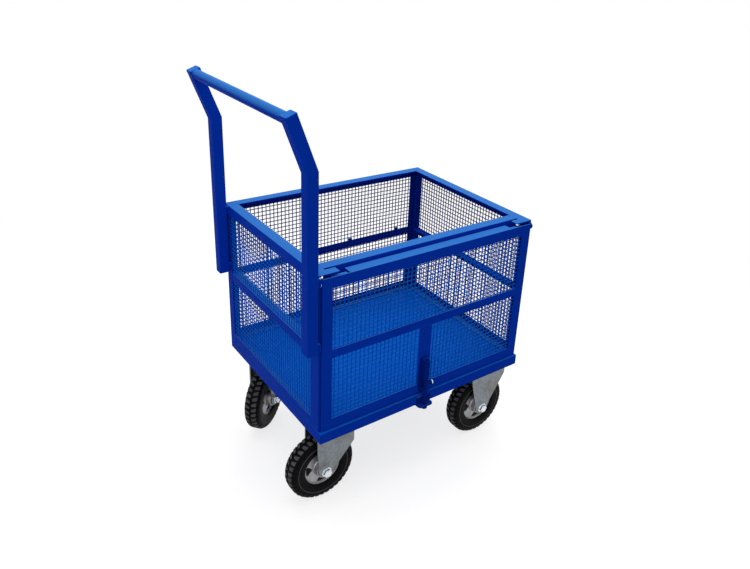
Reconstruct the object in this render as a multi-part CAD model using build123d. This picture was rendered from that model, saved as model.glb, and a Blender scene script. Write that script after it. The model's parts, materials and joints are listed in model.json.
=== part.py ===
from build123d import *
import math
import os

# A mesh-sided push cart with a bent tube handle, a top-hung front gate and four casters.
# All sizes are in millimetres. The cart is laid out from the front corner at the handle end:
# X runs along the platform, away from the handle, Y runs from the gate to the back, Z is up from the floor.

# Platform
platform_length = 700.0
platform_width = 550.0
deck_thickness = 2.0
angle_leg = 30.0
angle_wall = 3.0
root_radius = 3.0

# Bearers under the deck, which carry the casters
bearer_width = 140.0
bearer_wall = 4.0
bearer_bend = 6.0

# Cage
cage_height = 450.0
front_post_depth = 40.0
mid_rail_leg = 25.0
mid_rail_height = 236.0
foot_rail_leg = 25.0
clip_tab_width = 14.0
clip_tab_height = 8.0
clip_tab_from_far_end = (80.0, 269.0)
corner_plate_length = 58.0

# Wire mesh
mesh_pitch = 12.7
wire_size = 2.2
mesh_corner_gap = 0.6
mesh_front_gap = 2.0
mesh_top_gap = 5.0

# Gate
gate_setback = 5.0
gate_side_gap = 6.0
gate_foot_gap = 3.0
gate_back_gap = 3.0
gate_rise_gap = 0.7
gate_bar = 30.0
gate_wall = 3.0
gate_mid_rail_width = 25.0
gate_mid_rail_height = 228.0
gate_flange_from_handle_end = 85.0
gate_flange_from_far_end = 80.0
gate_mesh_gap = 1.0
gate_mesh_seat = 5.0
gate_swing_gap = 3.0
latch_stile_width = 40.0
latch_from_handle_end = 332.0

# Gate hinge
hinge_rod_diameter = 12.0
hinge_sleeve_wall = 3.0
hinge_sleeve_length = 44.0
hinge_sleeve_cover = 2.0
hinge_sleeve_clear = 5.0
hinge_running_gap = 0.05
hinge_head_diameter = 19.0
hinge_head_thickness = 5.0

# Slide bolt on the gate
bolt_diameter = 10.0
bolt_running_gap = 0.08
bolt_back_gap = 1.0
bolt_length = 150.0
bolt_foot_height = 5.0
bolt_tip_chamfer = 1.5
knob_diameter = 8.0
knob_head_diameter = 12.0
knob_head_length = 9.0
knob_reach = 15.0
knob_height = 33.0
guide_width = 34.0
guide_height = 114.0
guide_thickness = 2.0
guide_foot_height = 4.0
guide_loop_wall = 3.0
guide_edge = 3.0
guide_barrel_height = 62.0
guide_loop_height = 11.0
keeper_width = 50.0
keeper_height = 24.0
keeper_wall = 3.0
keeper_rim = 8.0
keeper_corner = 12.0
keeper_hole_gap = 1.0

# Push handle
handle_tube = 30.0
handle_wall = 2.0
handle_corner = 3.0
handle_standoff = 6.0
handle_pad_height = 24.0
handle_foot_height = 275.0
handle_bend_height = 738.0
handle_lean = 21.0
handle_rake_length = 129.0

# Casters, both kinds
wheel_diameter = 200.0
tyre_width = 50.0
fork_side_gap = 7.0
fork_wall = 4.0
fork_bend = 9.0
tyre_top_gap = 26.0
caster_plate_length = 135.0
caster_plate_width = 110.0
caster_plate_thickness = 5.0
caster_plate_corner = 12.0
axle_boss_radius = 21.0
axle_seat_radius = 16.0
axle_seat = 3.0
axle_diameter = 15.0
axle_running_gap = 0.05
axle_hole_gap = 0.25
axle_flats = 22.0
axle_head = 9.0

# Swivel casters at the handle end
swivel_from_handle_end = 87.0
swivel_inset = 84.0
swivel_trail = 40.0
swivel_heading_front = 0.0
swivel_heading_rear = 38.0
race_diameter = 70.0
race_height = 9.5
swivel_gap = 0.5
kingpin_diameter = 20.0
kingpin_running_gap = 0.05
kingpin_flats = 32.0
kingpin_nut = 6.0
swivel_fork_back = 66.0
swivel_fork_front = 50.0
swivel_fork_shoulder = 62.0

# Rigid casters at the far end
rigid_from_far_end = 78.0
rigid_inset = 66.0
rigid_setback = 20.0
rigid_fork_half = 66.0
rigid_fork_shoulder = 40.0

# Wheel
rim_diameter = 116.0
rim_ring = 9.0
rim_width = 32.0
hub_diameter = 50.0
hub_collar = 4.0
hub_side_gap = 0.5
spoke_count = 4
spoke_width = 40.0
lug_count = 12
lug_gap = 12.0
lug_depth = 5.0
lug_reach = 15.0

# Sizes and places that follow from the ones above
wheel_radius = wheel_diameter / 2
fork_inside = tyre_width + 2 * fork_side_gap
fork_half = fork_inside / 2 + fork_wall
axle_half = fork_half + axle_seat
hub_length = fork_inside - 2 * hub_side_gap
caster_height = wheel_diameter + tyre_top_gap + fork_wall + swivel_gap + race_height + caster_plate_thickness
axle_drop = caster_height - wheel_radius
swivel_x = swivel_from_handle_end
rigid_x = platform_length - rigid_from_far_end
platform_underside = caster_height
deck_underside = platform_underside + angle_leg
deck_top = deck_underside + deck_thickness
cage_top = deck_top + cage_height
post_top = cage_top - angle_leg
mid_rail_top = deck_top + mid_rail_height
front_post_y = gate_setback + gate_wall + gate_back_gap
side_rail_start = front_post_y + front_post_depth
foot_mesh_start = deck_top + angle_wall + root_radius
mesh_top = cage_top - angle_wall - mesh_top_gap
gate_bottom = deck_top + gate_foot_gap
gate_mesh_side = angle_leg + gate_mesh_gap
gate_left = gate_mesh_side + gate_mesh_seat
gate_right = platform_length - gate_left

# The gate's top edge swings up past the corners, so the gate hangs that much lower than the cage
sleeve_radius = hinge_rod_diameter / 2 + hinge_sleeve_wall
hinge_depth = gate_wall + sleeve_radius
hinge_drop = sleeve_radius + hinge_sleeve_cover
gate_edge_swing = math.hypot(hinge_depth, hinge_drop)
gate_rise = gate_edge_swing - hinge_drop
gate_top = cage_top - angle_wall - gate_rise_gap - gate_rise
hinge_y = gate_setback + hinge_depth
hinge_z = gate_top - hinge_drop
flange_swing = math.hypot(gate_setback + gate_bar - hinge_y, hinge_drop)
front_rail_y = hinge_y + flange_swing + gate_swing_gap
latch_x = latch_from_handle_end
bolt_y = -(keeper_wall + bolt_back_gap + bolt_diameter / 2)
keeper_reach = bolt_diameter / 2 + keeper_rim - bolt_y
handle_x = -handle_standoff - handle_tube / 2
handle_foot = platform_underside + handle_foot_height
handle_bend = platform_underside + handle_bend_height

# The origin is on the floor, under the middle of the cart's overall box
lean = math.radians(handle_lean)
crossbar_reach = (handle_tube / 2 - handle_corner) * (math.sin(lean) + math.cos(lean)) + handle_corner
crossbar_side = handle_x - handle_rake_length * math.sin(lean) - crossbar_reach
handle_end_side = min(crossbar_side, swivel_x - swivel_trail - wheel_radius)
far_end_side = max(platform_length + hinge_head_thickness, rigid_x - rigid_setback + wheel_radius)
origin_x = (handle_end_side + far_end_side) / 2
origin_y = (platform_width - keeper_reach) / 2

along_x = Vector(1, 0, 0)
along_y = Vector(0, 1, 0)
upward = Vector(0, 0, 1)

nodes = {}


def cuboid(x, y, z):
    """A box between the low and high limits given along each axis."""
    low, high = zip(x, y, z)
    middle = [(a + b) / 2 for a, b in zip(low, high)]
    return Pos(*middle) * Box(*[b - a for a, b in zip(low, high)])


def angle_bar(corner, leg_a, leg_b, run):
    """A rolled angle: a point for its outer corner, vectors for its two legs, and one for its run."""
    across, up, along = Vector(*leg_a), Vector(*leg_b), Vector(*run)
    width, height, wall = across.length, up.length, angle_wall
    toes = [(0, height), (0, 0), (width, 0), (width, wall), (wall, wall), (wall, height)]
    profile = make_face(Polyline(*toes, close=True))
    root = profile.vertices().sort_by_distance(Vector(wall, wall))[0]
    section = Plane(origin=corner, x_dir=across, z_dir=across.cross(up)) * fillet(root, root_radius)
    return extrude(section, amount=along.length, dir=along.normalized())


def cut_beyond(solid, point, normal):
    """Takes off what lies beyond a plane, on the side that its normal points to."""
    return split(solid, bisect_by=Plane(origin=point, z_dir=normal), keep=Keep.BOTTOM)


def across_cart(x, y, z):
    """A sketching plane square to the cart's length, with its own X toward the back."""
    return Plane(origin=(x, y, z), x_dir=along_y, z_dir=along_x)


def hexagon_prism(flats, height):
    """A hexagon standing on the XY plane, sized across its flats."""
    return extrude(RegularPolygon(flats / 2, 6, major_radius=False), amount=height)


def platform_frame():
    """Four mitred angle rails, each with its upright leg outside and its flat leg under the deck sheet."""
    length, width = platform_length, platform_width
    corners = [(0, 0), (length, 0), (length, width), (0, width)]
    for index, name in enumerate(["front", "far_end", "rear", "handle_end"]):
        start = Vector(*corners[index], deck_underside)
        end = Vector(*corners[(index + 1) % len(corners)], deck_underside)
        along = (end - start).normalized()
        inward = upward.cross(along)
        rail = angle_bar(start, inward * angle_leg, upward * -angle_leg, end - start)
        rail = cut_beyond(rail, start, inward - along)
        nodes[f"platform_{name}_rail"] = cut_beyond(rail, end, inward + along)
    nodes["deck_sheet"] = cuboid((0, length), (0, width), (deck_underside, deck_top))


def caster_bearer(centre):
    """A folded channel across the platform, coped along its edges to fit under the rails' flat legs."""
    outside = Pos(0, angle_leg / 2) * Rectangle(bearer_width, angle_leg)
    outside = fillet(outside.vertices().group_by(Axis.Y)[0], bearer_bend)
    hollow = Pos(0, angle_leg / 2 + bearer_wall) * Rectangle(bearer_width - 2 * bearer_wall, angle_leg)
    hollow = fillet(hollow.vertices().group_by(Axis.Y)[0], bearer_bend - bearer_wall)
    start = angle_wall + root_radius
    seat = Plane(origin=(centre, start, platform_underside), x_dir=(1, 0, 0), z_dir=(0, -1, 0))
    channel = extrude(seat * (outside - hollow), amount=platform_width - 2 * start, dir=(0, 1, 0))
    leg_z = (deck_underside - angle_wall, deck_underside + angle_wall)
    between_x = (angle_leg, platform_length - angle_leg)
    between_y = (angle_leg, platform_width - angle_leg)
    flat_legs = cuboid((0, platform_length), (0, platform_width), leg_z) - cuboid(between_x, between_y, leg_z)
    return channel - flat_legs


def cage_frame():
    """Posts, top rails, mid rails and foot rails of the three fixed sides, and the plates over the gate's ends."""
    length, width, leg = platform_length, platform_width, angle_leg
    rise = upward * (post_top - deck_top)
    side_run = along_y * (width - leg - side_rail_start)
    rod_hole = across_cart(-angle_wall, hinge_y, hinge_z) * Circle(hinge_rod_diameter / 2 + hinge_running_gap)
    rod_hole = extrude(rod_hole, amount=length + 2 * angle_wall)
    feet = []
    for name, x, inward in (("handle_end", 0, along_x), ("far_end", length, -along_x)):
        front, rear = Vector(x, front_post_y, deck_top), Vector(x, width, deck_top)
        nodes[f"post_front_{name}"] = angle_bar(front, inward * leg, along_y * front_post_depth, rise)
        nodes[f"post_rear_{name}"] = angle_bar(rear, inward * leg, along_y * -leg, rise)

        start, corner = Vector(x, front_post_y, cage_top), Vector(x, width, cage_top)
        rail = angle_bar(start, inward * leg, upward * -leg, corner - start)
        nodes[f"top_rail_{name}"] = cut_beyond(rail, corner, along_y + inward) - rod_hole
        plate_x = sorted((x + inward.X * leg, x + inward.X * corner_plate_length))
        plate_y = (front_post_y, gate_setback + gate_bar)
        nodes[f"corner_plate_{name}"] = cuboid(plate_x, plate_y, (cage_top - angle_wall, cage_top))

        start = Vector(x, side_rail_start, mid_rail_top)
        nodes[f"mid_rail_{name}"] = angle_bar(start, inward * mid_rail_leg, upward * -mid_rail_leg, side_run)
        foot_start = Vector(x, side_rail_start, deck_top)
        feet.append(angle_bar(foot_start, inward * foot_rail_leg, upward * foot_rail_leg, side_run))

    rear_corner = Vector(0, width, cage_top)
    rear = angle_bar(rear_corner, along_y * -leg, upward * -leg, along_x * length)
    rear = cut_beyond(rear, rear_corner, -along_x - along_y)
    nodes["top_rail_rear"] = cut_beyond(rear, rear_corner + along_x * length, along_x - along_y)
    between_posts = along_x * (length - 2 * leg)
    front_corner = Vector(leg, front_rail_y, cage_top)
    nodes["top_rail_front"] = angle_bar(front_corner, along_y * leg, upward * -leg, between_posts)

    rear_face = (width - angle_wall, width)
    tab_z = (mid_rail_top, mid_rail_top + clip_tab_height)
    bar = cuboid((leg, length - leg), rear_face, (mid_rail_top - mid_rail_leg, mid_rail_top))
    for from_far_end in clip_tab_from_far_end:
        left = length - from_far_end - clip_tab_width / 2
        bar += cuboid((left, left + clip_tab_width), rear_face, tab_z)
    nodes["mid_rail_rear"] = bar
    foot_start = Vector(leg, width, deck_top)
    feet.append(angle_bar(foot_start, along_y * -foot_rail_leg, upward * foot_rail_leg, between_posts))
    nodes["panel_foot_rails"] = feet


def wire_places(span):
    """Evenly pitched wire centres, centred in a span."""
    low, high = span
    count = int((high - low - wire_size) // mesh_pitch)
    first = (low + high - count * mesh_pitch) / 2
    return [first + index * mesh_pitch for index in range(count + 1)]


def wire_panel(across, up, solid_at):
    """Upright wires in the outer layer and cross wires in the inner one, welded where they touch."""
    half = wire_size / 2
    uprights = [solid_at((place - half, place + half), up, 0) for place in wire_places(across)]
    crossings = [solid_at(across, (place - half, place + half), 1) for place in wire_places(up)]
    return uprights + crossings


def wire_layer(face, inward, layer):
    """Low and high limits of one wire layer, counted inward from the face that carries the mesh."""
    near = face + inward * layer * wire_size
    return tuple(sorted((near, near + inward * wire_size)))


def cage_mesh():
    """Wire mesh on the back and, above and below the mid rails, on both ends."""
    corner = angle_wall + 2 * wire_size + mesh_corner_gap
    side_span = (hinge_y + gate_edge_swing + mesh_front_gap, platform_width - corner)
    lower = (foot_mesh_start, mid_rail_top - angle_wall - root_radius)
    upper = (mid_rail_top, mesh_top)
    for name, face, inward in (("handle_end", angle_wall, 1), ("far_end", platform_length - angle_wall, -1)):

        def end_wire(across, up, layer):
            return cuboid(wire_layer(face, inward, layer), across, up)

        nodes[f"mesh_{name}"] = wire_panel(side_span, lower, end_wire)
        nodes[f"mesh_{name}"] += wire_panel(side_span, upper, end_wire)

    def rear_wire(across, up, layer):
        return cuboid(across, wire_layer(platform_width - angle_wall, -1, layer), up)

    rear_span = (corner, platform_length - corner)
    nodes["mesh_rear"] = wire_panel(rear_span, (foot_mesh_start, mesh_top), rear_wire)


def gate():
    """The front gate: flat stiles, angle rails at top and bottom, a mid rail, a latch stile and its mesh."""
    front, back = gate_setback, gate_setback + gate_wall
    face = (front, back)
    height = (gate_bottom, gate_top)
    nodes["gate_stile_handle_end"] = cuboid((gate_side_gap, gate_left), face, height)
    far_stile = (gate_right, platform_length - gate_side_gap)
    nodes["gate_stile_far_end"] = cuboid(far_stile, face, height)

    run, flange, web = along_x * (gate_right - gate_left), along_y * gate_bar, upward * gate_bar
    top = angle_bar((gate_left, front, gate_top), flange, -web, run)
    flange_y = (back, back + gate_bar)
    flange_z = (gate_top - angle_wall - root_radius, gate_top + gate_wall)
    top -= cuboid((0, gate_flange_from_handle_end), flange_y, flange_z)
    top -= cuboid((platform_length - gate_flange_from_far_end, platform_length), flange_y, flange_z)
    nodes["gate_top_rail"] = top
    nodes["gate_bottom_rail"] = angle_bar((gate_left, front, gate_bottom), flange, web, run)

    mid_bottom = deck_top + gate_mid_rail_height - gate_mid_rail_width / 2
    mid_span = (mid_bottom, mid_bottom + gate_mid_rail_width)
    nodes["gate_mid_rail"] = cuboid((gate_left, gate_right), face, mid_span)
    stile_x = (latch_x - latch_stile_width / 2, latch_x + latch_stile_width / 2)
    nodes["gate_latch_stile"] = cuboid(stile_x, face, (gate_bottom + gate_bar, mid_bottom))

    def gate_wire(across, up, layer):
        return cuboid(across, wire_layer(back, 1, layer), up)

    mesh_x = (gate_mesh_side, platform_length - gate_mesh_side)
    mesh_z = (gate_bottom + angle_wall + root_radius, hinge_z - sleeve_radius - gate_mesh_gap)
    nodes["gate_mesh"] = wire_panel(mesh_x, mesh_z, gate_wire)


def gate_hinge():
    """A long headed rod through both end rails, and the footed sleeves of the gate that turn on it."""
    axis = across_cart(0, hinge_y, hinge_z)
    foot = Pos(-sleeve_radius / 2, 0) * Rectangle(sleeve_radius, 2 * sleeve_radius)
    eye = Circle(sleeve_radius) + foot - Circle(hinge_rod_diameter / 2 + hinge_running_gap)
    sleeve = extrude(axis * eye, amount=hinge_sleeve_length)
    near_flange = gate_flange_from_handle_end - hinge_sleeve_clear - hinge_sleeve_length
    places = (near_flange, platform_length - gate_flange_from_far_end)
    nodes["gate_hinge_sleeves"] = [Pos(place, 0, 0) * sleeve for place in places]
    rod = extrude(axis * Circle(hinge_rod_diameter / 2), amount=platform_length)
    head = extrude(axis * Circle(hinge_head_diameter / 2), amount=hinge_head_thickness)
    nodes["hinge_rod"] = rod + Pos(platform_length, 0, 0) * head


def slide_bolt():
    """A vertical bolt in a barrel and a loop on the gate, and the drilled lug that it drops into."""
    at_latch = Pos(latch_x, 0, platform_underside)
    half = guide_width / 2
    guide_foot = deck_top + guide_foot_height - platform_underside
    guide_top = guide_foot + guide_height
    guide_face = gate_setback - guide_thickness
    guide = cuboid((-half, half), (guide_face, gate_setback), (guide_foot, guide_top))
    bore = bolt_diameter / 2 + bolt_running_gap
    outside = bore + guide_loop_wall
    neck = guide_face - bolt_y
    loop = Circle(outside) + Pos(0, neck / 2) * Rectangle(2 * outside, neck) - Circle(bore)
    barrel_foot = guide_top - guide_edge - guide_barrel_height
    guide += Pos(0, bolt_y, guide_foot + guide_edge) * extrude(loop, amount=guide_loop_height)
    guide += Pos(0, bolt_y, barrel_foot) * extrude(loop, amount=guide_barrel_height)
    nodes["bolt_guide"] = at_latch * guide

    rod = Pos(0, bolt_y, bolt_foot_height) * extrude(Circle(bolt_diameter / 2), amount=bolt_length)
    rod = chamfer(rod.edges().group_by(Axis.Z)[0], bolt_tip_chamfer)
    knob = across_cart(0, bolt_y, guide_foot + knob_height)
    rod += extrude(knob * Circle(knob_diameter / 2), amount=knob_reach)
    rod += extrude(knob.offset(knob_reach) * Circle(knob_head_diameter / 2), amount=knob_head_length)
    nodes["gate_bolt"] = at_latch * rod

    half = keeper_width / 2
    lug = Pos(0, -keeper_reach / 2) * Rectangle(keeper_width, keeper_reach)
    lug = fillet(lug.vertices().group_by(Axis.Y)[0], keeper_corner)
    lug -= Pos(0, bolt_y) * Circle(bolt_diameter / 2 + keeper_hole_gap)
    keeper = extrude(lug, amount=keeper_wall)
    nodes["bolt_keeper"] = at_latch * (keeper + cuboid((-half, half), (-keeper_wall, 0), (0, keeper_height)))


def square_tube():
    """The handle tube's hollow section."""
    inside = handle_tube - 2 * handle_wall
    return RectangleRounded(handle_tube, handle_tube, handle_corner) - Rectangle(inside, inside)


def push_handle():
    """Two bent legs on welded pads, and a crossbar, mitred where they meet."""
    rake = Vector(-math.sin(lean), 0, math.cos(lean))
    half = handle_tube / 2
    pads = []
    corners = []
    for name, y, inward in (("front", half, along_y), ("rear", platform_width - half, -along_y)):
        foot, bend = Vector(handle_x, y, handle_foot), Vector(handle_x, y, handle_bend)
        corner = bend + rake * handle_rake_length
        corners.append(corner)
        route = Polyline(foot, bend, corner + rake * handle_tube)
        section = Plane(origin=foot, x_dir=(1, 0, 0), z_dir=(0, 0, 1)) * square_tube()
        leg = sweep(section, path=route, transition=Transition.RIGHT)
        nodes[f"handle_leg_{name}"] = cut_beyond(leg, corner, rake + inward)
        pad_y = (y - half + handle_corner, y + half - handle_corner)
        for pad_z in (handle_foot + handle_corner, cage_top - handle_pad_height - handle_corner):
            pads.append(cuboid((-handle_standoff, 0), pad_y, (pad_z, pad_z + handle_pad_height)))
    nodes["handle_pads"] = pads

    front, rear = corners
    start = front - along_y * handle_tube
    section = Plane(origin=start, x_dir=rake, z_dir=(0, 1, 0)) * square_tube()
    bar = extrude(section, amount=(rear - front).length + 2 * handle_tube, dir=(0, 1, 0))
    bar = cut_beyond(bar, front, -rake - along_y)
    nodes["handle_crossbar"] = cut_beyond(bar, rear, along_y - rake)


def caster_plate():
    """A top plate, hanging below its own origin."""
    outline = Rectangle(caster_plate_length, caster_plate_width)
    outline = chamfer(outline.vertices(), caster_plate_corner)
    return Pos(0, 0, -caster_plate_thickness) * extrude(outline, amount=caster_plate_thickness)


def pressed_fork(crown_top, top_back, top_front, shoulder, axle_x):
    """A sheet-steel fork: tapering legs cut out of a bent channel, with a raised seat round the axle on each."""
    crown = Edge.make_line((top_back, crown_top), (top_front, crown_top))
    shoulders = Edge.make_line((top_back, crown_top - shoulder), (top_front, crown_top - shoulder))
    boss = Edge.make_circle(axle_boss_radius).moved(Location((axle_x, -axle_drop, 0)))
    outline = make_hull([crown, shoulders, boss])
    hole = Circle(axle_diameter / 2 + axle_hole_gap)
    outline -= Pos(axle_x, -axle_drop) * hole
    legs = extrude(Plane.XZ * outline, amount=fork_half, both=True)

    height = axle_drop + axle_boss_radius + crown_top
    outside = Pos(0, crown_top - height / 2) * Rectangle(2 * fork_half, height)
    outside = fillet(outside.vertices().group_by(Axis.Y)[-1], fork_bend)
    hollow = Pos(0, crown_top - fork_wall - height / 2) * Rectangle(fork_inside, height)
    hollow = fillet(hollow.vertices().group_by(Axis.Y)[-1], fork_bend - fork_wall)
    channel = extrude(Plane.YZ * (outside - hollow), amount=top_front - top_back, both=True)
    fork = legs & channel
    seat = extrude(Plane.XZ * (Circle(axle_seat_radius) - hole), amount=axle_seat / 2, both=True)
    for side in (-1, 1):
        fork += Pos(axle_x, side * (fork_half + axle_seat / 2), -axle_drop) * seat
    return fork


def axle_bolt():
    """A through bolt along Y with its head in front and its nut behind, as tightened."""
    shank = Pos(0, 0, -axle_half) * extrude(Circle(axle_diameter / 2), amount=2 * axle_half)
    hexagon = hexagon_prism(axle_flats, axle_head)
    bolt = shank + Pos(0, 0, -axle_half - axle_head) * hexagon + Pos(0, 0, axle_half) * hexagon
    return Rot(-90, 0, 0) * bolt


def wheel_rim():
    """A cast wheel centre: a ring and flat spokes of one thickness, and a longer bored hub."""
    outer, hub = rim_diameter / 2, hub_diameter / 2
    windows = Circle(outer - rim_ring) - Circle(hub + hub_collar)
    for index in range(spoke_count):
        spoke = Pos(outer / 2, 0) * Rectangle(outer, spoke_width)
        windows -= Rot(0, 0, 360 * (index + 0.5) / spoke_count) * spoke
    rim = extrude(Plane.XZ * (Circle(outer) - windows), amount=rim_width / 2, both=True)
    rim += extrude(Plane.XZ * Circle(hub), amount=hub_length / 2, both=True)
    bore = Plane.XZ * Circle(axle_diameter / 2 + axle_running_gap)
    return rim - extrude(bore, amount=hub_length, both=True)


def tyre():
    """A solid rubber tyre, notched in turn on each side into lugs."""
    half = tyre_width / 2
    section = Circle(wheel_radius) - Circle(rim_diameter / 2)
    ring = extrude(Plane.XZ * section, amount=half, both=True)
    notch_z = (wheel_radius - lug_depth, wheel_radius + lug_depth)
    notch = cuboid((-lug_gap / 2, lug_gap / 2), (half - lug_reach, half + lug_reach), notch_z)
    step = 360 / lug_count
    notches = []
    for index in range(lug_count):
        notches.append(Rot(0, step * (index + 0.25), 0) * notch)
        notches.append(Rot(0, step * (index + 0.75), 180) * notch)
    return ring - notches


def casters():
    """Two swivel casters at the handle end, two rigid ones at the far end, and the bearers over them."""
    rim, rubber, bolt, plate = wheel_rim(), tyre(), axle_bolt(), caster_plate()
    back = platform_width
    nodes["caster_bearer_handle_end"] = caster_bearer(swivel_x)
    nodes["caster_bearer_far_end"] = caster_bearer(rigid_x)

    race_bottom = -caster_plate_thickness - race_height
    crown_top = race_bottom - swivel_gap
    pin_foot = crown_top - fork_wall - swivel_gap
    race = Pos(0, 0, race_bottom) * extrude(Circle(race_diameter / 2), amount=race_height)
    pin = Pos(0, 0, pin_foot) * extrude(Circle(kingpin_diameter / 2), amount=race_bottom - pin_foot)
    swivel = race + pin + Pos(0, 0, pin_foot - kingpin_nut) * hexagon_prism(kingpin_flats, kingpin_nut)
    swivel_fork = pressed_fork(
        crown_top, -swivel_fork_back, swivel_fork_front, swivel_fork_shoulder, -swivel_trail
    )
    pin_hole = Circle(kingpin_diameter / 2 + kingpin_running_gap)
    swivel_fork -= Pos(0, 0, pin_foot) * extrude(pin_hole, amount=2 * fork_wall)
    rigid_fork = pressed_fork(
        -caster_plate_thickness, -rigid_fork_half, rigid_fork_half, rigid_fork_shoulder, -rigid_setback
    )

    wheels = []
    for name, y, heading in (
        ("swivel_front", swivel_inset, swivel_heading_front),
        ("swivel_rear", back - swivel_inset, swivel_heading_rear),
    ):
        seat = Pos(swivel_x, y, platform_underside)
        nodes[f"{name}_head"] = [seat * plate, seat * swivel]
        nodes[f"{name}_fork"] = seat * Rot(0, 0, heading) * swivel_fork
        wheels.append((name, seat * Rot(0, 0, heading) * Pos(-swivel_trail, 0, -axle_drop)))
    for name, y in (("rigid_front", rigid_inset), ("rigid_rear", back - rigid_inset)):
        seat = Pos(rigid_x, y, platform_underside)
        nodes[f"{name}_bracket"] = [seat * plate, seat * rigid_fork]
        wheels.append((name, seat * Pos(-rigid_setback, 0, -axle_drop)))
    for name, at_axle in wheels:
        nodes[f"{name}_axle"] = at_axle * bolt
        nodes[f"{name}_rim"] = at_axle * rim
        nodes[f"{name}_tyre"] = at_axle * rubber


platform_frame()
cage_frame()
cage_mesh()
gate()
gate_hinge()
slide_bolt()
push_handle()
casters()

os.makedirs("parts", exist_ok=True)
to_origin = Pos(-origin_x, -origin_y, 0)
for node, shape in nodes.items():
    solids = shape if isinstance(shape, list) else [shape]
    placed = [to_origin * solid for solid in solids]
    whole = placed[0] if len(placed) == 1 else Compound(children=placed)
    export_step(whole, f"parts/{node}.step")
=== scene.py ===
"""Looks of a mesh-sided push cart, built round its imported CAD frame.

The painted steelwork keeps the frame's shapes and gains rolled edges, weld beads and enamel. The wire mesh,
the push handle, the tyres, the wheel centres and the axle bolts are built again here, with the detail that
their plain solids leave out. Lengths are in millimetres until they reach a mesh, which is in metres.
"""

import json
import logging
import math
from dataclasses import dataclass, field, replace
from enum import Enum, IntEnum
from functools import cached_property, partial
from itertools import product
from typing import Any, Iterable, Sequence

import bmesh
import bpy
from bmesh.types import BMesh, BMVert
from bpy.types import Material, Node, NodeSocket, NodeTree, Object, World
from mathutils import Matrix, Vector

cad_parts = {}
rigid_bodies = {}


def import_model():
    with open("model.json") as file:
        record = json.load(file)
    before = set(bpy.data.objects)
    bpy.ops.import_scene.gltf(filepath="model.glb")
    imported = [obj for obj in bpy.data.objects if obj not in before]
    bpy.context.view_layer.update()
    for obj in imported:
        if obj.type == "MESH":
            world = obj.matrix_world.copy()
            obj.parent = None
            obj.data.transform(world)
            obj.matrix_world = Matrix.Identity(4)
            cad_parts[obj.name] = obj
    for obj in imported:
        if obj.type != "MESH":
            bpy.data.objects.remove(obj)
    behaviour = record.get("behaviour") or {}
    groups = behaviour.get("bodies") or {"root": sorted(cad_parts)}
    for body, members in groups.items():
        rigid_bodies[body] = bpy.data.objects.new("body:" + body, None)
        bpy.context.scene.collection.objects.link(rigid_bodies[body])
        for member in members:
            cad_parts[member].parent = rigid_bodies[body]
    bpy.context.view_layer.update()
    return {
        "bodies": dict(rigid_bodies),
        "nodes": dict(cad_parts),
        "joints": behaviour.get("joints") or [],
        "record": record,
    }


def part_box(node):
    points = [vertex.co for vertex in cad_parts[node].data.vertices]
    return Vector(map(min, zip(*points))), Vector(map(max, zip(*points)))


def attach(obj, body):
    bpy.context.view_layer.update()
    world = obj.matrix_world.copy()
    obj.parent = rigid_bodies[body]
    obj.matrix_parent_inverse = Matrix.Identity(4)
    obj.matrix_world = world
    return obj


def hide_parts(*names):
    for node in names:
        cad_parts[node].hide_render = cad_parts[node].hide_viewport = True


LOG = logging.getLogger("push_cart")
MM = 0.001
# An edge that turns by more than the first stays sharp, by more than the second is rounded off, and by less
# than the third is only a line between two facets of a flat face
SHARP_ANGLE = math.radians(40)
ROUNDED_ANGLE = math.radians(30)
FACET_ANGLE = math.radians(0.5)
# Corners of the frame's facets that lie closer than this are one corner
SAME_POINT = 0.002 * MM
# The two sides of a wheel or a fork, as signs
SIDES = (1, -1)
# Axes by their place in a vector, and the corners of a box by their place in a pair
X, Y, Z = range(3)
LOW, HIGH, BOTH = (0,), (1,), (0, 1)
# Inputs of a node that mixes two colours
SHARE, UNDER, OVER = 0, 6, 7

Frame = dict[str, Any]
Box = tuple[Vector, Vector]
Profile = Sequence[tuple[float, float]]
Rings = Sequence[Sequence[BMVert]]


class Slot(Enum):
    """The record's material slots."""

    PAINT = "blue_paint"
    ZINC = "zinc_plated_steel"
    BRIGHT = "bright_steel"
    RIM = "cast_rim"
    RUBBER = "tyre_rubber"


class CasterKind(Enum):
    """How a caster is held: by a fork that turns on a kingpin, or by a fork welded to its plate."""

    SWIVEL = "swivel"
    RIGID = "rigid"


class Roundness(IntEnum):
    """How many faces go round a turned shape, by its size."""

    WHEEL = 96
    HUB = 64
    TUBE = 48
    BOLT = 32
    STUB = 24


def linear(colour: str) -> tuple[float, float, float, float]:
    """Turns an sRGB hex colour into linear light.

    Args:
        colour: Six hex digits after a hash sign.

    Returns:
        Red, green, blue and an alpha of one.
    """
    channels = [int(colour[place : place + 2], 16) / 255 for place in (1, 3, 5)]
    red, green, blue = (c / 12.92 if c <= 0.04045 else ((c + 0.055) / 1.055) ** 2.4 for c in channels)
    return red, green, blue, 1.0


def add_node(tree: NodeTree, kind: str, inputs: dict[str | int, Any] | None = None, **settings: Any) -> Node:
    """Adds a shader node with its settings, and fills or links its inputs.

    Args:
        tree: The node tree that gets the node.
        kind: Blender's name for the type of node, without the words shader node.
        inputs: What each input gets, by its name or place: a number, a hex colour, an output, or a node,
            which stands for its first output in use.
        **settings: Properties of the node itself.

    Returns:
        The new node.
    """
    node = tree.nodes.new(f"ShaderNode{kind}")
    for name, value in settings.items():
        setattr(node, name, value)
    for name, value in (inputs or {}).items():
        if isinstance(value, Node):
            value = next(socket for socket in value.outputs if socket.enabled)
        if isinstance(value, NodeSocket):
            tree.links.new(value, node.inputs[name])
        else:
            node.inputs[name].default_value = linear(value) if isinstance(value, str) else value
    return node


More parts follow.
